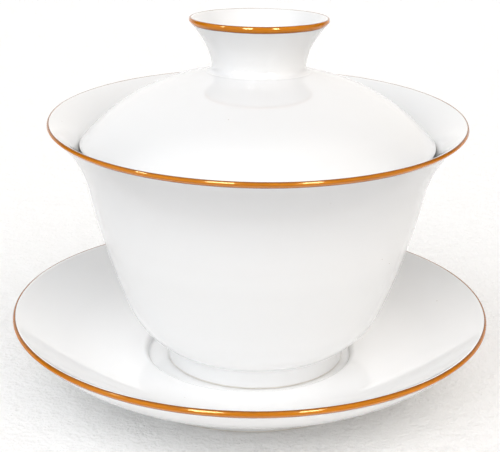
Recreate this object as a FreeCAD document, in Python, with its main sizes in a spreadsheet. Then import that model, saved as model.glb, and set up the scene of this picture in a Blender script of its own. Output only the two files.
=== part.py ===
import FreeCAD, Part
import math
import os

import Sketcher

# A gaiwan: a lidded tea bowl on its saucer, in thin glazed porcelain with a painted rim on each
# piece.  Millimetres, +Z up; the origin is the middle of the saucer's foot, on the table.
#
# Every piece is turned, so each one is an outline revolved about its own upright axis.  The bowl
# and the lid have their own origins: the bowl's is the middle of its foot, the lid's is the
# middle of its edge.  Their placements stand them in the saucer's well and on the bowl's wall.

DIMENSIONS = {
    # How the three loose pieces stand on each other.  Zero shifts and tilt centre and level them.
    "bowl_shift": 1.4,            # sideways play taken up by the bowl's foot in the well
    "lid_seat": 56.0,             # lid edge above the bowl's foot
    "lid_shift": -1.6,            # the tilted lid slides towards its raised side
    "lid_tilt": -3.7,             # degrees about X

    # Saucer: a shallow dish on a foot ring, with a well that keeps the bowl's foot in place.
    "saucer_lip_reach": 58.65,
    "saucer_lip_level": 18.85,
    "saucer_lip_round": 0.6,
    "saucer_under_lean": -41.0,   # degrees, way the outside faces just below the lip
    "saucer_under_curve": 42.0,
    "saucer_top_lean": 130.0,     # degrees, way the inside faces just below the lip
    "saucer_top_curve": 47.5,
    "saucer_shoulder_reach": 27.2,
    "saucer_shoulder_round": 1.6,
    "saucer_well_cove": 0.6,
    "saucer_well_level": 6.5,
    "saucer_foot_reach": 32.0,
    "saucer_foot_top_reach": 32.6,
    "saucer_recess_mouth": 29.6,
    "saucer_recess_reach": 28.8,
    "saucer_recess_depth": 3.4,
    "saucer_foot_round": 0.6,

    # Bowl: a flared lip, a tapering wall and a full belly on a narrow foot ring.
    "bowl_lip_reach": 50.15,
    "bowl_lip_level": 61.35,
    "bowl_lip_round": 0.45,
    "bowl_flare_lean": -48.5,     # degrees, way the outside faces just below the lip
    "bowl_flare_curve": 29.8,
    "bowl_flare_level": 44.9,
    "bowl_wall_curve": 175.0,
    "bowl_belly_level": 15.3,
    "bowl_belly_curve": 20.5,
    "bowl_foot_reach": 22.1,
    "bowl_foot_top_reach": 22.6,
    "bowl_recess_mouth": 19.9,
    "bowl_recess_reach": 19.3,
    "bowl_recess_depth": 2.7,
    "bowl_foot_round": 0.5,
    "cavity_lip_lean": 121.0,     # degrees, way the inside faces just below the lip
    "cavity_lip_curve": 22.8,
    "cavity_seat_level": 50.3,
    "cavity_flare_curve": 32.0,
    "cavity_flare_level": 45.3,
    "cavity_wall_curve": 173.0,
    "cavity_belly_level": 16.4,
    "cavity_belly_curve": 18.0,

    # Lid: a dome that sits inside the flare of the bowl.
    "lid_edge_reach": 41.95,
    "lid_edge_level": 0.1,
    "lid_edge_round": 0.9,
    "lid_dome_lean": 39.0,        # degrees, way the outside faces just above the edge
    "lid_dome_curve": 45.8,
    "lid_dome_level": 15.8,
    "lid_crown_curve": 88.0,
    "lid_inner_lean": -138.0,     # degrees, way the inside faces just above the edge
    "lid_inner_curve": 48.0,
    "knob_seat_level": 17.6,      # flat on the crown that the knob is luted to

    # Knob: a flared ring on the crown of the lid, hollow like a small cup.
    "knob_lip_reach": 16.1,
    "knob_lip_level": 29.85,
    "knob_lip_round": 0.5,
    "knob_lean": -38.5,           # degrees, way the outside faces just below the lip
    "knob_flare_curve": 60.0,
    "knob_flare_level": 25.3,
    "knob_neck_curve": 12.8,
    "knob_cove_level": 18.1,
    "knob_cove": 0.6,
    "hollow_lean": 139.0,         # degrees, way the inside faces just below the lip
    "hollow_flare_curve": 60.0,
    "hollow_flare_level": 25.9,
    "hollow_neck_curve": 14.5,

    # Painted rims: a fired-on enamel skin over each lip and a little way down the outside.
    "enamel_skin": 0.12,
    "enamel_inner_edge": 100.0,   # degrees round the lip where the paint starts
    "saucer_band_level": 17.75,
    "bowl_band_level": 60.35,
    "knob_band_level": 28.45,
}

doc = FreeCAD.newDocument("gaiwan")
sheet = doc.addObject("Spreadsheet::Sheet", "dimensions")
for row, (name, value) in enumerate(DIMENSIONS.items(), start=1):
    sheet.set("A%d" % row, name)
    sheet.set("B%d" % row, str(value))
    sheet.setAlias("B%d" % row, name)
doc.recompute()
size = {name: sheet.getPropertyByName(name) for name in DIMENSIONS}

START, END, CENTRE = 1, 2, 3
ROOT = -1                 # the sketch's own axes and origin
AXIS = -2                 # the upright axis


def polar(centre, radius, angle):
    """The point at an angle, in radians, round a centre."""
    return centre[0] + radius * math.cos(angle), centre[1] + radius * math.sin(angle)


def vector(point):
    return FreeCAD.Vector(point[0], point[1], 0)


class Outline:
    """Half of a turned piece's cross-section, drawn in a sketch: X is the distance from the axis."""

    def __init__(self, body, name):
        self.sketch = body.newObject("Sketcher::SketchObject", name)
        planes = {plane.Role: plane for plane in body.Origin.OriginFeatures}
        self.sketch.AttachmentSupport = [(planes["XZ_Plane"], "")]
        self.sketch.MapMode = "FlatFace"

    def constrain(self, kind, *where, to=None):
        """Add a constraint; a size it carries is bound to the sheet cell named by 'to'."""
        if to is None:
            return self.sketch.addConstraint(Sketcher.Constraint(kind, *where))
        degrees = kind == "Angle"
        value = math.radians(size[to]) if degrees else size[to]
        index = self.sketch.addConstraint(Sketcher.Constraint(kind, *where, value))
        unit = " * 1 deg" if degrees else ""
        self.sketch.setExpression("Constraints[%d]" % index, "dimensions.%s%s" % (to, unit))
        return index

    def place(self, geometry, end, reach=None, level=None):
        """Hold a point at a distance from the axis and at a height."""
        if reach:
            self.constrain("DistanceX", ROOT, START, geometry, end, to=reach)
        if level:
            self.constrain("DistanceY", ROOT, START, geometry, end, to=level)

    def arc(self, centre, radius, first, last):
        """An arc, counter-clockwise from one angle to another, in radians."""
        circle = Part.Circle(vector(centre), FreeCAD.Vector(0, 0, 1), radius)
        return self.sketch.addGeometry(Part.ArcOfCircle(circle, first, last))

    def segment(self, start, end):
        return self.sketch.addGeometry(Part.LineSegment(vector(start), vector(end)))

    def spoke(self, arc, centre, end, tip, lean):
        """A construction line from an arc's centre to its end holds the way the end faces."""
        line = self.segment(centre, tip)
        self.sketch.toggleConstruction(line)
        self.constrain("Coincident", line, START, arc, CENTRE)
        self.constrain("Coincident", line, END, arc, end)
        self.constrain("Angle", line, to=lean)

    def lip(self, name, first_lean, last_lean, over=None):
        """A rounded edge; returns the runs that go on from its two ends.

        The edge turns counter-clockwise, from where it faces one way to where it faces another.
        With 'over' it is the enamel's face over that edge instead.
        """
        centre = (size[name + "_reach"], size[name + "_level"])
        radius = size[name + "_round"]
        if over is not None:
            radius += size["enamel_skin"]
        first = math.radians(size[first_lean])
        last = math.radians(size[last_lean])
        first_tip = polar(centre, radius, first)
        last_tip = polar(centre, radius, last)
        arc = self.arc(centre, radius, first, last)
        if over is None:
            self.place(arc, CENTRE, name + "_reach", name + "_level")
            self.constrain("Radius", arc, to=name + "_round")
            self.spoke(arc, centre, START, first_tip, first_lean)
            self.spoke(arc, centre, END, last_tip, last_lean)
        else:
            self.constrain("Coincident", arc, CENTRE, over, CENTRE)
        before = Run(self, arc, START, first_tip, first - math.pi / 2)
        after = Run(self, arc, END, last_tip, last + math.pi / 2)
        return before, after

    def close(self, one, other):
        """Join the ends of two runs with a straight line."""
        line = self.segment(one.point, other.point)
        self.constrain("Coincident", line, START, one.geometry, one.end)
        self.constrain("Coincident", line, END, other.geometry, other.end)
        return line


class Run:
    """A run of arcs and lines in an outline; each one starts where the last one ends."""

    def __init__(self, outline, geometry, end, point, heading):
        self.outline = outline
        self.geometry = geometry
        self.end = end
        self.point = point
        self.heading = heading

    def advance(self, geometry, start, end, point, heading, tangent=True):
        """Fix the new piece to the run's end and go on from its far end."""
        kind = "Tangent" if tangent else "Coincident"
        self.outline.constrain(kind, geometry, start, self.geometry, self.end)
        self.geometry = geometry
        self.end = end
        self.point = point
        self.heading = heading

    def arc(self, radius, turn, reach=None, level=None, stop=None, over=None):
        """A tangent arc, left (+1) or right (-1), to a distance from the axis or to a height.

        It can also end at an angle about its centre; with no end given it turns until level.
        With 'over' it is the enamel's face over that arc instead.
        """
        bend = size[radius]
        if over is not None:
            bend -= turn * size["enamel_skin"]
        first = self.heading - turn * math.pi / 2
        centre = polar(self.point, bend, self.heading + turn * math.pi / 2)
        if reach:
            across = math.acos((size[reach] - centre[0]) / bend)
            stops = (across, -across)
        elif level:
            up = math.asin((size[level] - centre[1]) / bend)
            stops = (up, math.pi - up)
        elif stop is not None:
            stops = (stop,)
        else:
            stops = (math.pi / 2, -math.pi / 2)
        sweep = min((turn * (angle - first)) % (2 * math.pi) for angle in stops)
        last = first + turn * sweep
        if turn > 0:
            geometry = self.outline.arc(centre, bend, first, last)
            start, end = START, END
        else:
            geometry = self.outline.arc(centre, bend, last, first)
            start, end = END, START
        heading = self.heading + turn * sweep
        self.advance(geometry, start, end, polar(centre, bend, last), heading)
        if over is None:
            self.outline.constrain("Radius", geometry, to=radius)
        else:
            self.outline.constrain("Coincident", geometry, CENTRE, over, CENTRE)
        self.outline.place(geometry, end, reach, level)

    def step_down(self, shoulder, cove, level):
        """A rounded step towards the axis, down to a level floor that runs in to the axis."""
        upper = polar(self.point, size[shoulder], self.heading + math.pi / 2)
        lower_level = size[level] + size[cove]
        drop = upper[1] - lower_level
        across = math.sqrt((size[shoulder] + size[cove]) ** 2 - drop ** 2)
        self.arc(shoulder, +1, stop=math.atan2(-drop, -across))
        self.arc(cove, -1)
        self.line_to_axis(tangent=True)
        self.outline.place(self.geometry, END, level=level)

    def line(self, reach, level):
        """A straight line to a corner."""
        corner = (size[reach], size[level])
        geometry = self.outline.segment(self.point, corner)
        self.advance(geometry, START, END, corner, 0.0, tangent=False)
        self.outline.place(geometry, END, reach, level)

    def line_to_ground(self, reach):
        """A straight line to a corner at height zero."""
        corner = (size[reach], 0.0)
        geometry = self.outline.segment(self.point, corner)
        self.advance(geometry, START, END, corner, 0.0, tangent=False)
        self.outline.constrain("PointOnObject", geometry, END, ROOT)
        self.outline.place(geometry, END, reach)

    def line_to_axis(self, tangent=False):
        """A level line in to the axis."""
        foot = (0.0, self.point[1])
        geometry = self.outline.segment(self.point, foot)
        self.advance(geometry, START, END, foot, math.pi, tangent)
        self.outline.constrain("PointOnObject", geometry, END, AXIS)
        self.outline.constrain("Horizontal", geometry)


def turned_body(name):
    body = doc.addObject("PartDesign::Body", name)
    body.Label = name
    return body


def revolve(body, outline):
    """Turn an outline about the body's upright axis."""
    feature = body.newObject("PartDesign::Revolution", "turned")
    feature.Profile = outline.sketch
    feature.ReferenceAxis = (outline.sketch, ["V_Axis"])
    feature.Angle = 360
    doc.recompute()
    return feature


def edges_at(shape, reach, level):
    """Names of the round edges of a turned shape that pass within a hair of a point."""
    names = []
    for number, edge in enumerate(shape.Edges, start=1):
        curve = edge.Curve
        if not isinstance(curve, Part.Circle):
            continue
        if math.hypot(curve.Radius - reach, curve.Center.z - level) < 0.01:
            names.append("Edge%d" % number)
    return names


def round_foot(body, turned, prefix):
    """Round the foot ring's two bottom edges and the corner of the recess inside it."""
    corners = (
        (size[prefix + "_foot_reach"], 0.0),
        (size[prefix + "_recess_mouth"], 0.0),
        (size[prefix + "_recess_reach"], size[prefix + "_recess_depth"]),
    )
    names = [name for reach, level in corners for name in edges_at(turned.Shape, reach, level)]
    if len(names) < len(corners):
        raise RuntimeError("a foot edge of the %s was not found" % prefix)
    fillet = body.newObject("PartDesign::Fillet", "rounded_foot")
    fillet.Base = (turned, names)
    fillet.setExpression("Radius", "dimensions.%s_foot_round" % prefix)
    doc.recompute()


def make_saucer():
    body = turned_body("saucer")
    outline = Outline(body, "section")
    outside, inside = outline.lip("saucer_lip", "saucer_under_lean", "saucer_top_lean")
    outside.arc("saucer_under_curve", -1, reach="saucer_foot_top_reach")
    outside.line_to_ground("saucer_foot_reach")
    outside.line_to_ground("saucer_recess_mouth")
    outside.line("saucer_recess_reach", "saucer_recess_depth")
    outside.line_to_axis()
    inside.arc("saucer_top_curve", -1, reach="saucer_shoulder_reach")
    inside.step_down("saucer_shoulder_round", "saucer_well_cove", "saucer_well_level")
    outline.close(outside, inside)
    round_foot(body, revolve(body, outline), "saucer")
    return body


def make_bowl():
    body = turned_body("bowl")
    outline = Outline(body, "section")
    outside, inside = outline.lip("bowl_lip", "bowl_flare_lean", "cavity_lip_lean")
    outside.arc("bowl_flare_curve", +1, level="bowl_flare_level")
    outside.arc("bowl_wall_curve", -1, level="bowl_belly_level")
    outside.arc("bowl_belly_curve", -1, reach="bowl_foot_top_reach")
    outside.line_to_ground("bowl_foot_reach")
    outside.line_to_ground("bowl_recess_mouth")
    outside.line("bowl_recess_reach", "bowl_recess_depth")
    outside.line_to_axis()
    inside.arc("cavity_lip_curve", +1, level="cavity_seat_level")
    inside.arc("cavity_flare_curve", +1, level="cavity_flare_level")
    inside.arc("cavity_wall_curve", -1, level="cavity_belly_level")
    inside.arc("cavity_belly_curve", -1)
    inside.line_to_axis(tangent=True)
    outline.close(outside, inside)
    round_foot(body, revolve(body, outline), "bowl")
    return body


def make_lid():
    body = turned_body("lid")
    outline = Outline(body, "section")
    inside, outside = outline.lip("lid_edge", "lid_inner_lean", "lid_dome_lean")
    outside.arc("lid_dome_curve", +1, level="lid_dome_level")
    outside.arc("lid_crown_curve", +1, level="knob_seat_level")
    outside.line_to_axis()
    inside.arc("lid_inner_curve", +1)
    inside.line_to_axis(tangent=True)
    outline.close(outside, inside)
    revolve(body, outline)
    return body


def make_knob():
    body = turned_body("lid_knob")
    outline = Outline(body, "section")
    outside, inside = outline.lip("knob_lip", "knob_lean", "hollow_lean")
    outside.arc("knob_flare_curve", +1, level="knob_flare_level")
    outside.arc("knob_neck_curve", +1, level="knob_cove_level")
    outside.arc("knob_cove", +1, level="knob_seat_level")
    inside.arc("hollow_flare_curve", +1, level="hollow_flare_level")
    inside.arc("hollow_neck_curve", +1, level="knob_seat_level")
    outline.close(outside, inside)
    revolve(body, outline)
    return body


def make_painted_rim(name, lip, lean, curve, turn, level):
    """A skin of enamel over a lip and down its outside, following the porcelain's own curves."""
    body = turned_body(name)
    outline = Outline(body, "section")
    under, under_edge = outline.lip(lip, lean, "enamel_inner_edge")
    over, over_edge = outline.lip(lip, lean, "enamel_inner_edge", over=under.geometry)
    under.arc(curve, turn, level=level)
    over.arc(curve, turn, level=level, over=under.geometry)
    outline.close(under, over)
    thickness = outline.close(under_edge, over_edge)
    outline.constrain("Distance", thickness, to="enamel_skin")
    outline.constrain("Angle", thickness, to="enamel_inner_edge")
    revolve(body, outline)
    return body


def stand(bodies, shift, heights):
    """Bind a loose piece's sideways place and height to the sheet."""
    for body in bodies:
        body.setExpression("Placement.Base.x", "dimensions." + shift)
        height = " + ".join("dimensions." + name for name in heights)
        body.setExpression("Placement.Base.z", height)


def tip(bodies, slide, tilt):
    """Tilt a piece about its X axis, and bind the tilt and the slide that goes with it."""
    for body in bodies:
        body.Placement.Rotation = FreeCAD.Rotation(FreeCAD.Vector(1, 0, 0), size[tilt])
        body.setExpression("Placement.Rotation.Angle", "dimensions.%s * 1 deg" % tilt)
        body.setExpression("Placement.Base.y", "dimensions." + slide)


saucer = make_saucer()
saucer_band = make_painted_rim(
    "saucer_rim_band", "saucer_lip", "saucer_under_lean", "saucer_under_curve", -1,
    "saucer_band_level",
)
bowl = make_bowl()
bowl_band = make_painted_rim(
    "bowl_rim_band", "bowl_lip", "bowl_flare_lean", "bowl_flare_curve", +1, "bowl_band_level",
)
lid = make_lid()
knob = make_knob()
knob_band = make_painted_rim(
    "knob_rim_band", "knob_lip", "knob_lean", "knob_flare_curve", +1, "knob_band_level",
)

stand([bowl, bowl_band], "bowl_shift", ["saucer_well_level"])
stand([lid, knob, knob_band], "bowl_shift", ["saucer_well_level", "lid_seat"])
tip([lid, knob, knob_band], "lid_shift", "lid_tilt")
doc.recompute()

for item in doc.Objects:
    if "Invalid" in item.State or "Error" in item.State:
        raise RuntimeError("%s failed: %s" % (item.Label, item.State))

os.makedirs("parts", exist_ok=True)
for piece in (saucer, saucer_band, bowl, bowl_band, lid, knob, knob_band):
    shape = piece.Shape
    if shape.isNull() or not shape.isValid() or len(shape.Solids) != 1:
        raise RuntimeError("%s is not one valid solid" % piece.Label)
    box = shape.optimalBoundingBox(True)
    print("%-16s %9.1f mm3  z %.2f to %.2f  width %.2f" % (
        piece.Label, shape.Volume, box.ZMin, box.ZMax, box.XLength))
    shape.exportStep(os.path.join("parts", piece.Label + ".step"))
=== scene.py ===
import math

import bmesh
import bpy
from mathutils import Matrix, Vector


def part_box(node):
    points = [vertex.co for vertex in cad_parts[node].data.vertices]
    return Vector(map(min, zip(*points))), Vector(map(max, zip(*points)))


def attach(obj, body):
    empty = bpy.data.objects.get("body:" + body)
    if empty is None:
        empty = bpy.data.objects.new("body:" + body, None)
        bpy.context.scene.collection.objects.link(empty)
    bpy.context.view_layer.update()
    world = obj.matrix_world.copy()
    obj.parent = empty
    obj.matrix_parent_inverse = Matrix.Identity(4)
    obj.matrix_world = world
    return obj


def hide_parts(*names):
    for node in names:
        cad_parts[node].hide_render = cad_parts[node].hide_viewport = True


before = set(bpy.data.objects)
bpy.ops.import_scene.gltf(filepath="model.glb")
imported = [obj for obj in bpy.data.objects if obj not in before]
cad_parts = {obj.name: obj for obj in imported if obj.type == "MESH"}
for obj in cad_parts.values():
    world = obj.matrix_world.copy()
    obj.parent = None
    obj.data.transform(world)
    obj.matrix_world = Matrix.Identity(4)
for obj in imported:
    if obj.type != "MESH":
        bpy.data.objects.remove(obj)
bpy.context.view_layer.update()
scene = bpy.context.scene

# A gaiwan in thin white porcelain with a fired orange-brown line round each rim.
#
# Every piece is turned, so it is built as a closed cross-section carried round its own axis.
# Cross-sections are in millimetres, as (distance from the axis, height above the piece's own
# origin), and repeat the outlines of the CAD part.  Meshes and places are in metres.

MM = 0.001
TAU = 2 * math.pi

# The centre of each rim's rounded lip (from the axis, height), and the lip's radius.
SAUCER_LIP = (58.65, 18.85, 0.6)
BOWL_LIP = (50.15, 61.35, 0.45)
LID_LIP = (41.95, 0.1, 0.9)
KNOB_LIP = (16.1, 29.85, 0.5)

# Vertices round each turned piece and each enamel line.
ROUND, KNOB_ROUND = 360, 240
LINE_ROUND, KNOB_LINE_ROUND = 480, 320

FOOT_ROUNDING = 0.3
FOOT_GLAZE_END = 0.5      # height at which the glaze stops above the ground
FOOT_GLAZE = 0.1          # how far it stands out from the bare clay there
GLAZED_ABOVE = 0.46       # points of a foot lower than this are bare
LID_GLAZED_ABOVE = -0.25

LINE_ROWS = 36            # rows across an enamel line
LINE_SKIN = 0.12          # how far the enamel stands up from the lip
LINE_EDGE = 0.01          # and how far at its edges
LINE_SUNK = 0.05          # how far its underside lies within the porcelain
LINE_SETTLED = 0.06       # how much of its crown has settled flat
LINE_INNER_LEAN = math.radians(100.0)

LID_TILT = math.radians(-3.7)
SHARP = math.radians(60)


# ---------------------------------------------------------------- cross-sections


class Pen:
    """Draws a chain of arcs and lines, each arc running smoothly on from the last."""

    LONGEST_STEP = 1.3        # mm along a gentle curve
    WIDEST_TURN = math.radians(9)

    def __init__(self, point, heading):
        self.points = [point]
        self.heading = heading

    def arc(self, radius, turn, reach=None, level=None, sweep=None):
        """Left (+1) or right (-1), to a distance from the axis, a height or by an angle."""
        x, y = self.points[-1]
        towards = self.heading + turn * math.pi / 2
        cx = x + radius * math.cos(towards)
        cy = y + radius * math.sin(towards)
        first = towards + math.pi
        if reach is not None:
            across = math.acos((reach - cx) / radius)
            stops = (across, -across)
        elif level is not None:
            up = math.asin((level - cy) / radius)
            stops = (up, math.pi - up)
        else:
            stops = (math.pi / 2, -math.pi / 2)
        if sweep is None:
            sweep = min((turn * (stop - first)) % TAU for stop in stops)
        count = math.ceil(max(sweep * radius / self.LONGEST_STEP, sweep / self.WIDEST_TURN, 2))
        for i in range(1, count + 1):
            angle = first + turn * sweep * i / count
            self.points.append((cx + radius * math.cos(angle), cy + radius * math.sin(angle)))
        self.heading += turn * sweep
        return self

    def line(self, x, y):
        x0, y0 = self.points[-1]
        count = max(1, math.ceil(math.hypot(x - x0, y - y0) / (2 * self.LONGEST_STEP)))
        for i in range(1, count + 1):
            self.points.append((x0 + (x - x0) * i / count, y0 + (y - y0) * i / count))
        return self

    def corners(self, *corners):
        """Straight runs through (x, y, rounding) corners, each corner rounded off."""
        path = [(*self.points[-1], 0.0), *corners]
        for before, corner, after in zip(path, path[1:], path[2:] + [None]):
            if after is None or corner[2] == 0:
                self.line(corner[0], corner[1])
                continue
            into = Vector((corner[0] - before[0], corner[1] - before[1])).normalized()
            away = Vector((after[0] - corner[0], after[1] - corner[1])).normalized()
            bend = math.atan2(into.x * away.y - into.y * away.x, into.dot(away))
            back = corner[2] * math.tan(abs(bend) / 2)
            self.line(corner[0] - into.x * back, corner[1] - into.y * back)
            self.heading = math.atan2(into.y, into.x)
            self.arc(corner[2], math.copysign(1, bend), sweep=abs(bend))
        return self


def lip(centre, first_lean, last_lean):
    """A rounded edge, and the pens that go on from its two ends."""
    reach, level, radius = centre
    first, last = math.radians(first_lean), math.radians(last_lean)
    count = math.ceil((last - first) / Pen.WIDEST_TURN)
    points = []
    for i in range(count + 1):
        angle = first + (last - first) * i / count
        points.append((reach + radius * math.cos(angle), level + radius * math.sin(angle)))
    return points, Pen(points[0], first - math.pi / 2), Pen(points[-1], last + math.pi / 2)


def section(outside, edge, inside):
    """One line from the end of the outside pen, over the edge, to the end of the inside pen."""
    return outside.points[:0:-1] + edge + inside.points[1:]


def stand_on_foot(pen, reach, mouth, recess, depth):
    """Go on round a foot ring, whose glaze stops short of the ground, to the piece's axis.

    'reach' and 'mouth' are the outside and inside of the face it stands on.  Its recess reaches
    'recess' from the axis and is 'depth' deep.
    """
    glaze_end, glaze = FOOT_GLAZE_END, FOOT_GLAZE
    ceiling = depth + 0.3
    top_x, top_y = pen.points[-1]
    outer = reach + (top_x - reach) * glaze_end / top_y
    inner = mouth + (recess - mouth) * glaze_end / depth
    pen.corners(
        (outer, glaze_end + 0.05, 0.08),
        (outer - glaze, glaze_end - 0.05, 0.04),
        (reach - glaze, 0.0, FOOT_ROUNDING),
        (mouth + glaze, 0.0, FOOT_ROUNDING),
        (inner + glaze, glaze_end - 0.05, 0.04),
        (inner, glaze_end + 0.05, 0.08),
        (recess, depth, 0.9),
        (recess / 2, ceiling, 9.0),
        (0.0, ceiling, 0.0),
    )


def soften(points, corner, reach):
    """Round off the corner nearest to a point, from a distance before it to one after it."""
    at = min(range(len(points)), key=lambda i: math.dist(points[i], corner))
    peak = Vector(points[at])

    def walk(step):
        i, left = at, reach
        while True:
            here, there = Vector(points[i]), Vector(points[i + step])
            gap = (there - here).length
            if gap >= left:
                return i + step, here + (there - here) * left / gap
            left -= gap
            i += step

    before, start = walk(-1)
    after, end = walk(+1)
    curve, steps = [], 8
    for i in range(steps + 1):
        t = i / steps
        curve.append(tuple(start * (1 - t) ** 2 + peak * 2 * t * (1 - t) + end * t ** 2))
    return points[:before + 1] + curve + points[after:]


def saucer_section():
    """The dish falls steeply from its shoulder into the shallow well for the bowl's foot."""
    edge, outside, inside = lip(SAUCER_LIP, -41.0, 130.0)
    outside.arc(42.0, -1, reach=32.6)
    foot_top = outside.points[-1]
    stand_on_foot(outside, 32.0, 29.6, 28.8, 3.4)
    shoulder, cove, well = 1.6, 0.6, 6.5
    inside.arc(47.5, -1, reach=27.2)
    x, y = inside.points[-1]
    drop = y + shoulder * math.sin(inside.heading + math.pi / 2) - (well + cove)
    steepest = math.pi + math.asin(drop / (shoulder + cove))
    turned = (steepest - (inside.heading - math.pi / 2)) % TAU
    inside.arc(shoulder, +1, sweep=turned).arc(cove, -1).line(0.0, well)
    return soften(section(outside, edge, inside), foot_top, 0.9)


def bowl_section():
    """A flare under the lip, an almost straight wall, and a full belly on a narrow foot."""
    edge, outside, inside = lip(BOWL_LIP, -48.5, 121.0)
    outside.arc(29.8, +1, level=44.9).arc(175.0, -1, level=15.3).arc(20.5, -1, reach=22.6)
    foot_top = outside.points[-1]
    stand_on_foot(outside, 22.1, 19.9, 19.3, 2.7)
    inside.arc(22.8, +1, level=50.3).arc(32.0, +1, level=45.3)
    inside.arc(173.0, -1, level=16.4).arc(18.0, -1)
    inside.line(0.0, inside.points[-1][1])
    return soften(section(outside, edge, inside), foot_top, 0.7)


def lid_section():
    """A thin dome, open below, with a level seat under the knob."""
    edge, inside, outside = lip(LID_LIP, -138.0, 39.0)
    outside.arc(45.8, +1, level=15.8).arc(88.0, +1, level=17.6)
    outside.line(0.0, 17.6)
    inside.arc(48.0, +1)
    inside.line(0.0, inside.points[-1][1])
    return section(inside, edge, outside)


def knob_section():
    """The knob's foot runs out on to the dome and its hollow's wall on to the seat."""
    edge, outside, inside = lip(KNOB_LIP, -38.5, 139.0)
    dome_slope = math.radians(348.6)
    outside.arc(60.0, +1, level=25.3).arc(12.8, +1, level=19.4)
    outside.arc(1.7, +1, sweep=dome_slope - outside.heading % TAU)
    inside.arc(60.0, +1, level=25.9).arc(14.5, +1, level=18.5)
    inside.arc(0.98, -1)
    return section(outside, edge, inside)


# ---------------------------------------------------------------- turned meshes


def ramp(value, none, full):
    """How far a value is from 'none' to 'full', from 0 to 1."""
    return min(1.0, max(0.0, (value - none) / (full - none)))


def waves(angle, *parts):
    """A slow, repeatable wander round the piece, each part (lobes, phase, share), from 0 to 1."""
    total = sum(share for _, _, share in parts)
    swing = sum(share * math.cos(lobes * angle + phase) for lobes, phase, share in parts)
    return 0.5 + 0.5 * swing / total


def thrown(centre, true_below, sag, ovality, phase):
    """How far a hand-finished piece strays from a true circle: always inwards and downwards."""
    reach, level, _ = centre

    def stray(x, y, angle):
        near_lip = ramp(y, true_below, level) ** 2
        round_share = near_lip * x / reach
        inwards = -ovality * round_share * waves(angle, (2, phase, 1.0), (3, 2.1 * phase, 0.5))
        downwards = -sag * near_lip * waves(angle, (2, 1.3 + phase, 1.0), (5, 0.7, 0.3))
        return inwards, downwards
    return stray


def bends(path, ring):
    """How sharply the section bends at each point, per mm: hollows are negative, edges positive."""
    count = len(path)
    result = []
    for i in range(count):
        if not ring and i in (0, count - 1):
            result.append(0.0)
            continue
        before, here, after = (Vector(path[j % count]) for j in (i - 1, i, i + 1))
        into, away = here - before, after - here
        length = (into.length + away.length) / 2
        turned = math.atan2(into.x * away.y - into.y * away.x, into.dot(away))
        result.append(turned / max(length, 0.02))
    return result


def spread(path, values, reach):
    """Average a value along the section over a short reach, in mm."""
    along = [0.0]
    for before, after in zip(path, path[1:]):
        along.append(along[-1] + math.dist(before, after))
    result = []
    for place in along:
        total = weight = 0.0
        for other, value in zip(along, values):
            near = max(0.0, 1.0 - abs(other - place) / reach)
            total += near * value
            weight += near
        result.append(total / weight)
    return result


def facing(path, index):
    """The direction the surface faces at a point of the section: how far out and how far up."""
    before, after = path[max(index - 1, 0)], path[min(index + 1, len(path) - 1)]
    along = Vector(after) - Vector(before)
    along.normalize()
    return along.y, -along.x


def add_attribute(mesh, name, values):
    attribute = mesh.attributes.new(name, "FLOAT", "POINT")
    attribute.data.foreach_set("value", values)


def round_point(x, y, angle):
    """A point of a section, in metres, carried round the axis by an angle."""
    out = x * MM
    return out * math.cos(angle), out * math.sin(angle), y * MM


def make_mesh(name, points, faces, *materials):
    mesh = bpy.data.meshes.new(name)
    mesh.from_pydata(points, [], faces)
    for material in materials:
        mesh.materials.append(material)
    mesh.shade_smooth()
    return mesh


def show(mesh):
    thing = bpy.data.objects.new(mesh.name, mesh)
    scene.collection.objects.link(thing)
    return thing


def show_piece(mesh):
    mesh.set_sharp_from_angle(angle=SHARP)
    mesh.validate()
    mesh.update()
    return show(mesh)


def turn(name, path, segments, stray, materials, paint_light_and_shade, ring=False, bare=None):
    """Carry a section round the axis as one closed mesh.

    A ring's section is closed on itself; any other starts and ends on the axis.  'bare' tells
    which points of the section have no glaze; their faces take the second material.
    The function given after the materials tells, from a point and the way it faces, how much
    shade is painted into the glaze's colour there, down to -1, and how much light, up to 1.
    """
    rows, points = [], []
    for x, y in path:
        if x < 1e-6:
            rows.append([len(points)] * segments)
            points.append((0.0, 0.0, y * MM))
            continue
        rows.append(range(len(points), len(points) + segments))
        for k in range(segments):
            angle = TAU * k / segments
            inwards, downwards = stray(x, y, angle)
            points.append(round_point(x + inwards, y + downwards, angle))
    unglazed = [bare is not None and bare(x, y) for x, y in path]
    pairs = list(range(len(path) - 1)) + ([len(path) - 1] if ring else [])
    faces, finish = [], []
    for i in pairs:
        j = (i + 1) % len(path)
        low, high = rows[i], rows[j]
        for k in range(segments):
            n = (k + 1) % segments
            corners = (low[k], low[n], high[n], high[k])
            faces.append(tuple(dict.fromkeys(corners)))
            finish.append(1 if unglazed[i] and unglazed[j] else 0)
    mesh = make_mesh(name, points, faces, *materials)
    mesh.polygons.foreach_set("material_index", finish)
    bend = bends(path, ring)
    hollow = spread(path, [min(1.0, max(0.0, -0.7 * b)) for b in bend], 1.1)
    crest = spread(path, [min(1.0, max(0.0, 0.5 * b)) for b in bend], 0.5)
    # Per point, the painted shade (below 0) and painted light (above 0) that the glaze's colour
    # takes.
    painted_light_and_shade = [paint_light_and_shade(x, y, *facing(path, i)) for i, (x, y) in enumerate(path)]
    for label, values in (("hollow", hollow), ("crest", crest), ("painted_light_and_shade", painted_light_and_shade)):
        each = []
        for row, value in zip(rows, values):
            each += [value] * len(set(row))
        add_attribute(mesh, label, each)
    return show_piece(mesh)


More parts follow.
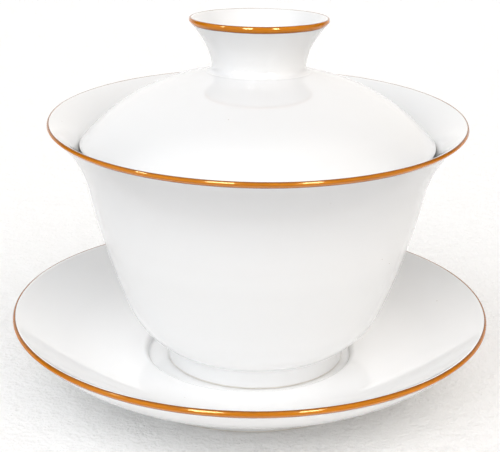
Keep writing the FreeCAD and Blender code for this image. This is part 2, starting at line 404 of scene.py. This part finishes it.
def paint_line(name, path, lower_level, centre, flat_lean, segments, stray, wander):
    """A line of enamel over a lip: a skin that thins out to both of its slightly uneven edges.

    The enamel has settled nearly flat where it faces 'flat_lean' degrees above the horizon.
    """
    centre_x, centre_y, _ = centre
    flat_lean = math.radians(flat_lean)
    crown = Vector((math.cos(flat_lean), math.sin(flat_lean)))
    kept = []
    for x, y in path:
        if y < lower_level - 0.3 or x <= centre_x - 3.0:
            continue
        lean = math.atan2(y - centre_y, x - centre_x)
        inside = lean > LINE_INNER_LEAN or lean < -math.pi * 0.75
        if not (inside and x < centre_x):
            kept.append(Vector((x, y)))
    along = [0.0]
    for before, after in zip(kept, kept[1:]):
        along.append(along[-1] + (after - before).length)

    def at(distance):
        """The point at a distance along the lip's face, and the way that it faces."""
        distance = min(max(distance, 0.0), along[-1] - 1e-6)
        i = max(j for j in range(len(along) - 1) if along[j] <= distance)
        here = kept[i].lerp(kept[i + 1], (distance - along[i]) / (along[i + 1] - along[i]))
        back, on = kept[max(i - 1, 0)], kept[min(i + 2, len(kept) - 1)]
        way = (on - back).normalized()
        return here, Vector((way.y, -way.x))

    def share_at(row):
        """How far across the line a row lies, with the rows closer together at its edges."""
        return 0.5 - 0.5 * math.cos(math.pi * row / LINE_ROWS)

    lower = next(length for length, point in zip(along, kept) if point.y >= lower_level)
    points, across = [], []
    for k in range(segments):
        angle = TAU * k / segments
        start = lower + wander * (waves(angle, (3, 0.4, 1.0), (7, 1.9, 0.8), (16, 2.2, 0.5)) - 0.5)
        end = along[-1] - wander * waves(angle, (4, 1.1, 1.0), (9, 0.3, 0.7), (19, 2.9, 0.4))
        outline = []
        for row in range(LINE_ROWS + 1):
            share = share_at(row)
            here, outward = at(start + (end - start) * share)
            fullness = 1.0 - abs(2 * share - 1) ** 5
            thickness = LINE_EDGE + (LINE_SKIN - LINE_EDGE) * fullness
            outline.append((here + outward * thickness, share))
        top = max(spot.dot(crown) for spot, _ in outline) - LINE_SETTLED
        outline = [(spot - crown * 0.95 * max(0.0, spot.dot(crown) - top), share)
                   for spot, share in outline]
        for row in range(LINE_ROWS, -1, -4):
            share = share_at(row)
            here, outward = at(start + (end - start) * share)
            outline.append((here - outward * LINE_SUNK, share))
        for spot, share in outline:
            inwards, downwards = stray(spot.x, spot.y, angle)
            points.append(round_point(spot.x + inwards, spot.y + downwards, angle))
            across.append(share)
    ring = len(points) // segments
    faces = []
    for k in range(segments):
        n = (k + 1) % segments
        for i in range(ring):
            j = (i + 1) % ring
            faces.append((k * ring + i, n * ring + i, n * ring + j, k * ring + j))
    mesh = make_mesh(name, points, faces, enamel)
    add_attribute(mesh, "across", across)
    return show_piece(mesh)


# ---------------------------------------------------------------- materials


class Shader:
    """A node material, built from the output back."""

    def __init__(self, name):
        self.material = bpy.data.materials.new(name)
        self.material.use_nodes = True
        self.nodes = self.material.node_tree.nodes
        self.links = self.material.node_tree.links
        self.surface = self.nodes["Principled BSDF"]
        self.place = self.add("ShaderNodeTexCoord").outputs["Object"]

    def add(self, kind, settings=(), **inputs):
        node = self.nodes.new(kind)
        for name, value in dict(settings).items():
            setattr(node, name, value)
        for name, value in inputs.items():
            self.feed(node.inputs[name.replace("_", " ")], value)
        return node

    def feed(self, socket, value):
        if isinstance(value, bpy.types.NodeSocket):
            self.links.new(value, socket)
        else:
            socket.default_value = value

    def set(self, **inputs):
        for name, value in inputs.items():
            self.feed(self.surface.inputs[name.replace("_", " ")], value)

    def noise(self, size, detail=2.0, place=None, roughness=0.5):
        """Noise with features of about this size in metres, from 0 to 1."""
        node = self.add("ShaderNodeTexNoise", Scale=1 / size, Detail=detail, Roughness=roughness)
        self.links.new(place or self.place, node.inputs["Vector"])
        return node.outputs["Fac"]

    def spots(self, spacing, radius, softness=0.35):
        """Scattered round spots, 1 in the middle and 0 outside."""
        node = self.add("ShaderNodeTexVoronoi", Scale=1 / spacing)
        self.links.new(self.place, node.inputs["Vector"])
        edge = radius / spacing
        return self.remap(node.outputs["Distance"], edge * (1 - softness), edge, 1.0, 0.0)

    def attribute(self, name):
        return self.add("ShaderNodeAttribute", {"attribute_name": name}).outputs["Fac"]

    def remap(self, value, low, high, to_low, to_high):
        """A value carried from one range to another, and held at both ends."""
        node = self.add("ShaderNodeMapRange")
        self.feed(node.inputs["Value"], value)
        for index, number in zip((1, 2, 3, 4), (low, high, to_low, to_high)):
            node.inputs[index].default_value = number
        return node.outputs["Result"]

    def maths(self, operation, one, other):
        node = self.add("ShaderNodeMath", {"operation": operation})
        self.feed(node.inputs[0], one)
        self.feed(node.inputs[1], other)
        return node.outputs[0]

    def blend(self, share, one, other):
        """A mix of two colours."""
        node = self.add("ShaderNodeMix", {"data_type": "RGBA"})
        self.feed(node.inputs["Factor"], share)
        self.feed(node.inputs[6], one)
        self.feed(node.inputs[7], other)
        return node.outputs[2]

    def bump(self, height, distance, under=None):
        node = self.add("ShaderNodeBump", Height=height, Distance=distance)
        if under:
            self.links.new(under, node.inputs["Normal"])
        return node.outputs["Normal"]


def grey(value, red=0.0, blue=0.0):
    """A near-neutral colour, warmer or cooler by a little."""
    return (value + red, value, value + blue, 1.0)


def porcelain_glaze():
    """Clear glossy glaze with a few specks: painted shade greys it up high, painted light whitens
    it low down and in hollows.
    """
    s = Shader("porcelain_glaze")
    body = s.blend(s.noise(0.032), grey(0.845, -0.005, 0.0), grey(0.855, -0.002, -0.002))
    # Painted shade: where the per-point value is below 0, the colour is greyed towards 0.67.
    with_painted_shade = s.blend(s.remap(s.attribute("painted_light_and_shade"), -1.0, 0.0, 1.0, 0.0), body,
                      grey(0.67, -0.004, 0.006))
    # Painted light: where the per-point value is above 0, the colour is whitened towards 0.975.
    with_painted_light = s.blend(s.remap(s.attribute("painted_light_and_shade"), 0.0, 1.0, 0.0, 1.0), with_painted_shade,
                       grey(0.975, -0.004, 0.0))
    # Painted light in hollows: concave parts of the section are whitened towards 0.96.
    pooling_and_painted_light_and_shade = s.blend(s.remap(s.attribute("hollow"), 0.05, 0.8, 0.0, 0.5), with_painted_light,
                     grey(0.96, -0.004, 0.002))
    thinned = s.blend(s.remap(s.attribute("crest"), 0.2, 0.9, 0.0, 0.5), pooling_and_painted_light_and_shade,
                      grey(0.845, 0.006, -0.018))
    specked = s.blend(s.spots(0.0074, 0.00013), thinned, (0.30, 0.22, 0.15, 1.0))
    ripple = s.bump(s.noise(0.011, 0.0), 0.000014)
    skin = s.bump(s.noise(0.0013, 1.0), 0.0000005, ripple)
    pitted = s.bump(s.maths("MULTIPLY", s.spots(0.0051, 0.00011, 0.7), -1.0), 0.00003, skin)
    s.set(
        Base_Color=specked,
        Roughness=s.remap(s.noise(0.012, 3.0), 0.3, 0.7, 0.02, 0.045),
        Normal=pitted,
        IOR=1.6,
        Subsurface_Weight=0.12,
        Subsurface_Radius=(1.0, 0.95, 0.9),
        Subsurface_Scale=0.0012,
    )
    return s.material


def bare_porcelain():
    """The unglazed face of a foot ring or a lid's edge: fine dry grain, slightly stained."""
    s = Shader("bare_porcelain")
    grain = s.noise(0.0003, 4.0)
    body = s.blend(s.noise(0.006, 3.0), (0.76, 0.72, 0.66, 1.0), (0.81, 0.78, 0.73, 1.0))
    worn = s.blend(s.remap(s.noise(0.0022, 4.0, roughness=0.7), 0.56, 0.75, 0.0, 0.35), body,
                   (0.50, 0.46, 0.41, 1.0))
    s.set(
        Base_Color=s.blend(s.remap(grain, 0.3, 0.7, 0.0, 0.25), worn, (0.66, 0.62, 0.57, 1.0)),
        Roughness=s.remap(grain, 0.3, 0.7, 0.62, 0.85),
        Normal=s.bump(grain, 0.00004),
    )
    return s.material


def rim_enamel():
    """Orange-brown enamel: brushed round the rim on a wheel, thicker and darker along its edges,
    with painted shade on its lower, downward-facing edge.
    """
    s = Shader("rim_enamel")
    across = s.attribute("across")
    apart = s.add("ShaderNodeSeparateXYZ", Vector=s.place)
    strokes = s.add("ShaderNodeCombineXYZ")
    s.feed(strokes.inputs[0], apart.outputs[0])
    s.feed(strokes.inputs[1], apart.outputs[1])
    s.feed(strokes.inputs[2], s.maths("MULTIPLY", across, 0.09))
    streaks = s.noise(0.013, 4.0, strokes.outputs[0], 0.6)
    body = s.blend(s.remap(streaks, 0.32, 0.68, 0.0, 1.0), (0.45, 0.13, 0.0, 1.0),
                   (0.63, 0.195, 0.0, 1.0))
    ruffled = s.maths("ADD", across, s.remap(s.noise(0.0016, 2.0), 0.3, 0.7, -0.03, 0.03))
    # Darker towards both edges where the enamel pools thicker; at the lower, downward-facing edge
    # this is partly painted shade.
    below = s.remap(ruffled, 0.05, 0.42, 0.9, 0.0)
    above = s.remap(ruffled, 0.74, 0.93, 0.0, 0.95)
    pooling_and_painted_light_and_shade = s.blend(s.maths("MAXIMUM", below, above), body, (0.20, 0.052, 0.0, 1.0))
    grain = s.maths("MULTIPLY", s.noise(0.0009, 1.0), 0.2)
    s.set(
        Base_Color=pooling_and_painted_light_and_shade,
        Roughness=s.remap(streaks, 0.3, 0.7, 0.07, 0.12),
        Normal=s.bump(s.maths("ADD", streaks, grain), 0.000006),
        IOR=1.5,
        Specular_Tint=(1.0, 0.8, 0.4, 1.0),
    )
    return s.material


def floor_paper():
    """A matt white surface with a fine pebbled grain."""
    s = Shader("floor_paper")
    grain = s.noise(0.0011, 3.0, roughness=0.55)
    swell = s.maths("MULTIPLY", s.noise(0.004, 2.0), 1.5)
    s.set(
        Base_Color=s.blend(s.remap(grain, 0.3, 0.7, 0.0, 1.0), (0.96, 0.96, 0.955, 1.0),
                           (0.975, 0.975, 0.97, 1.0)),
        Roughness=0.6,
        Normal=s.bump(s.maths("ADD", grain, swell), 0.00048),
        Specular_IOR_Level=0.3,
    )
    return s.material


def backdrop_paper():
    """Evenly lit white paper, out of focus behind the set."""
    s = Shader("backdrop_paper")
    glow = s.blend(s.noise(1.5), (0.93, 0.93, 0.93, 1.0), (0.99, 0.99, 0.99, 1.0))
    s.set(
        Base_Color=(0.0, 0.0, 0.0, 1.0),
        Roughness=1.0,
        Emission_Color=glow,
        Emission_Strength=1.0,
        IOR=1.0,
    )
    return s.material


glaze = porcelain_glaze()
bare = bare_porcelain()
enamel = rim_enamel()


# ---------------------------------------------------------------- the pieces


def settle(pieces, node):
    """Move pieces together so that the first one's box is centred on its CAD node's box."""
    bpy.context.view_layer.update()
    first = pieces[0]
    corners = [first.matrix_world @ v.co for v in first.data.vertices]
    low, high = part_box(node)
    for axis in range(3):
        values = [corner[axis] for corner in corners]
        off = (low[axis] + high[axis]) / 2 - (min(values) + max(values)) / 2
        for piece in pieces:
            piece.location[axis] += off


def bowl_wall_painted_light_and_shade(x, y, out, up):
    """On the bowl's outside: painted shade growing from 34 mm up to under the rim, and painted
    light growing from 30 mm down to the foot.
    """
    return ramp(y, 30.0, 5.0) - ramp(y, 34.0, 58.0) if out > 0.0 else 0.0


def saucer_well_painted_light(x, y, out, up):
    """Painted light on the saucer's upward faces, growing inwards from 46 mm to 32 mm from the
    axis, towards the well.
    """
    return 0.9 * ramp(x, 46.0, 32.0) if up > 0.3 else 0.0


def dome_top_painted_shade(x, y, out, up):
    """Painted shade on the lid's upward faces, growing from 6 mm up to the top of the dome."""
    return -0.45 * ramp(y, 6.0, 20.0) if up > 0.0 else 0.0


def knob_outside_painted_shade(x, y, out, up):
    """Painted shade on the knob's outside, growing from 20 mm up towards its rim."""
    return -0.75 * ramp(y, 20.0, 29.0) if out > 0.0 else 0.0


saucer_line = saucer_section()
bowl_line = bowl_section()
lid_line = lid_section()
knob_line = knob_section()

saucer_stray = thrown(SAUCER_LIP, 4.0, 0.10, 0.10, 0.9)
bowl_stray = thrown(BOWL_LIP, 12.0, 0.06, 0.08, 0.4)
lid_stray = thrown(LID_LIP, -60.0, 0.0, 0.0, 0.0)
knob_stray = thrown(KNOB_LIP, 22.0, 0.04, 0.05, 2.0)

saucer = turn("saucer_dish", saucer_line, ROUND, saucer_stray, (glaze, bare), saucer_well_painted_light,
              bare=lambda x, y: y < GLAZED_ABOVE)
saucer_band = paint_line("saucer_rim_enamel", saucer_line, 17.5, SAUCER_LIP, 24.0, LINE_ROUND,
                         saucer_stray, 0.16)
bowl = turn("bowl_shell", bowl_line, ROUND, bowl_stray, (glaze, bare), bowl_wall_painted_light_and_shade,
            bare=lambda x, y: y < GLAZED_ABOVE)
bowl_band = paint_line("bowl_rim_enamel", bowl_line, 59.95, BOWL_LIP, 20.0, LINE_ROUND,
                       bowl_stray, 0.14)
lid = turn("lid_dome", lid_line, ROUND, lid_stray, (glaze, bare), dome_top_painted_shade,
           bare=lambda x, y: y < LID_GLAZED_ABOVE)
knob = turn("lid_knob_cup", knob_line, KNOB_ROUND, knob_stray, (glaze,), knob_outside_painted_shade, ring=True)
knob_band = paint_line("knob_rim_enamel", knob_line, 28.25, KNOB_LIP, 12.0, KNOB_LINE_ROUND,
                       knob_stray, 0.14)

for piece in (lid, knob, knob_band):
    piece.rotation_euler = (LID_TILT, 0.0, 0.0)
settle([saucer, saucer_band], "saucer")
settle([bowl, bowl_band], "bowl")
settle([lid, knob, knob_band], "lid")

for piece, body, node, slot in (
    (saucer, "saucer", "saucer", "porcelain"),
    (saucer_band, "saucer", "saucer_rim_band", "rim_enamel"),
    (bowl, "bowl", "bowl", "porcelain"),
    (bowl_band, "bowl", "bowl_rim_band", "rim_enamel"),
    (lid, "lid", "lid", "porcelain"),
    (knob, "lid", "lid_knob", "porcelain"),
    (knob_band, "lid", "knob_rim_band", "rim_enamel"),
):
    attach(piece, body)
    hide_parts(node)


# ---------------------------------------------------------------- floor, light and camera


FLOOR_REACH = 6.0
BACKDROP = ((5.6, 0.0), (5.8, 0.05), (5.95, 0.3), (6.0, 0.8), (6.0, 3.6))    # reach, height
AROUND_THE_SET = 96

# The studio's light: a little from all round, and more from soft places that fade out into the
# rest.  Each is (azimuth, elevation, how far it spreads, in degrees, and its colour).  Azimuth 0
# is in front and 90 on the right.
FILL = (0.03, 0.03, 0.03)
PLACES = (
    (-55, 34, 55, (1.38, 1.40, 1.43)),
    (60, 32, 58, (1.20, 1.11, 1.02)),
    (0, 52, 46, (1.45, 1.48, 1.53)),
    (180, 20, 60, (1.22, 1.19, 1.16)),
)

# Three lamps that make the highlights: name, azimuth and width.
LAMPS = (("lamp_left", -63, 0.15), ("lamp_middle", -19, 0.31), ("lamp_right", 28, 0.21))
LAMP_ELEVATION, LAMP_DISTANCE, LAMP_HEIGHT, LAMP_STRENGTH = 20, 1.3, 0.15, 36.0
LAMPS_AIM = Vector((0.0, 0.0, 0.04))

CAMERA_PLACE = (-0.0002, -0.3337, 0.1602)
CAMERA_PITCH, CAMERA_ROLL = math.radians(19.73), math.radians(0.71)
CAMERA_LENS = 102.9


def make_floor():
    mesh = bpy.data.meshes.new("floor")
    shape = bmesh.new()
    bmesh.ops.create_circle(shape, cap_ends=True, segments=AROUND_THE_SET, radius=FLOOR_REACH)
    shape.to_mesh(mesh)
    shape.free()
    mesh.materials.append(floor_paper())
    show(mesh)


def make_backdrop():
    """A pale studio wall far round the set.  Only the camera sees it, so it changes no light."""
    n = AROUND_THE_SET
    points = [(reach * math.cos(TAU * k / n), reach * math.sin(TAU * k / n), level)
              for reach, level in BACKDROP for k in range(n)]
    faces = [(i * n + k, (i + 1) * n + k, (i + 1) * n + (k + 1) % n, i * n + (k + 1) % n)
             for i in range(len(BACKDROP) - 1) for k in range(n)]
    backdrop = show(make_mesh("backdrop", points, faces, backdrop_paper()))
    backdrop.visible_diffuse = False
    backdrop.visible_glossy = False
    backdrop.visible_transmission = False
    backdrop.visible_shadow = False


def way_to(azimuth, elevation):
    """The direction from the set to a place round it."""
    a, e = math.radians(azimuth), math.radians(elevation)
    return Vector((math.sin(a) * math.cos(e), -math.cos(a) * math.cos(e), math.sin(e)))


def light_the_set():
    world = bpy.data.worlds.new("studio")
    world.use_nodes = True
    scene.world = world
    nodes, links = world.node_tree.nodes, world.node_tree.links
    way = nodes.new("ShaderNodeTexCoord").outputs["Generated"]
    fill = nodes.new("ShaderNodeCombineXYZ")
    for index, value in enumerate(FILL):
        fill.inputs[index].default_value = value
    total = fill.outputs["Vector"]
    for azimuth, elevation, spread_out, colour in PLACES:
        dot = nodes.new("ShaderNodeVectorMath")
        dot.operation = "DOT_PRODUCT"
        dot.inputs[1].default_value = way_to(azimuth, elevation)
        links.new(way, dot.inputs[0])
        fade = nodes.new("ShaderNodeMapRange")
        fade.interpolation_type = "SMOOTHSTEP"
        fade.inputs["From Min"].default_value = math.cos(math.radians(spread_out))
        fade.inputs["From Max"].default_value = 1.0
        links.new(dot.outputs["Value"], fade.inputs["Value"])
        tint = nodes.new("ShaderNodeVectorMath")
        tint.operation = "MULTIPLY_ADD"
        tint.inputs[0].default_value = colour
        links.new(fade.outputs["Result"], tint.inputs[1])
        links.new(total, tint.inputs[2])
        total = tint.outputs["Vector"]
    background = nodes["Background"]
    links.new(total, background.inputs["Color"])
    background.inputs["Strength"].default_value = 1.0


def hang_lamp(name, azimuth, width):
    """An area light aimed at the set, for its highlights alone."""
    way = way_to(azimuth, LAMP_ELEVATION)
    data = bpy.data.lights.new(name, "AREA")
    data.shape = "RECTANGLE"
    data.size, data.size_y = width, LAMP_HEIGHT
    data.energy = LAMP_STRENGTH * width * LAMP_HEIGHT * math.pi
    lamp = bpy.data.objects.new(name, data)
    lamp.location = LAMPS_AIM + way * LAMP_DISTANCE
    lamp.rotation_mode = "QUATERNION"
    lamp.rotation_quaternion = way.to_track_quat("Z", "Y")
    lamp.visible_diffuse = False
    scene.collection.objects.link(lamp)


def make_camera():
    """The viewing angle, distance and lens that fit the three rim ellipses."""
    pitch, roll = CAMERA_PITCH, CAMERA_ROLL
    forward = Vector((0.0, math.cos(pitch), -math.sin(pitch)))
    level_right = Vector((1.0, 0.0, 0.0))
    level_up = Vector((0.0, math.sin(pitch), math.cos(pitch)))
    right = level_right * math.cos(roll) + level_up * math.sin(roll)
    up = -level_right * math.sin(roll) + level_up * math.cos(roll)
    data = bpy.data.cameras.new("camera")
    data.sensor_width = 36.0
    data.lens = CAMERA_LENS
    data.clip_start = 0.01
    data.clip_end = 50.0
    camera = bpy.data.objects.new("camera", data)
    turned = Matrix((right, up, -forward)).transposed().to_4x4()
    camera.matrix_world = Matrix.Translation(CAMERA_PLACE) @ turned
    scene.collection.objects.link(camera)
    scene.camera = camera


make_floor()
make_backdrop()
make_camera()
light_the_set()
for lamp in LAMPS:
    hang_lamp(*lamp)
scene.view_settings.view_transform = "Standard"

bpy.context.view_layer.update()
